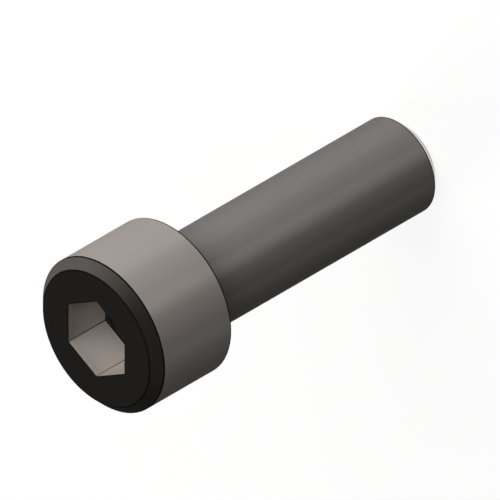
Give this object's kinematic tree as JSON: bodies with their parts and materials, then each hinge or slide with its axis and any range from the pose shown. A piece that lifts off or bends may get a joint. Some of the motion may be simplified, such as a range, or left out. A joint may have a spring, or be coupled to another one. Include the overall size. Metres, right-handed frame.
{
  "type": "socket head cap screw",
  "caption": "Cap screw with a plain shank, a cylindrical head with a chamfered top, and a hexagon socket that a key turns.",
  "frame": {"origin": "centre of the flat at the shank's tip, which is the bottom centre of the screw as it stands on that flat", "axes": "+Z along the screw's axis from the tip to the socket; +X through the middle of one of the socket's flats, so that two of its corners lie on Y"},
  "size_m": [0.013, 0.013, 0.033],
  "materials": {
    "steel": "satin turned steel, lighter on the head's side and dark on its end face"
  },
  "bodies": {
    "root": {"screw": "steel"}
  },
  "joints": []
}
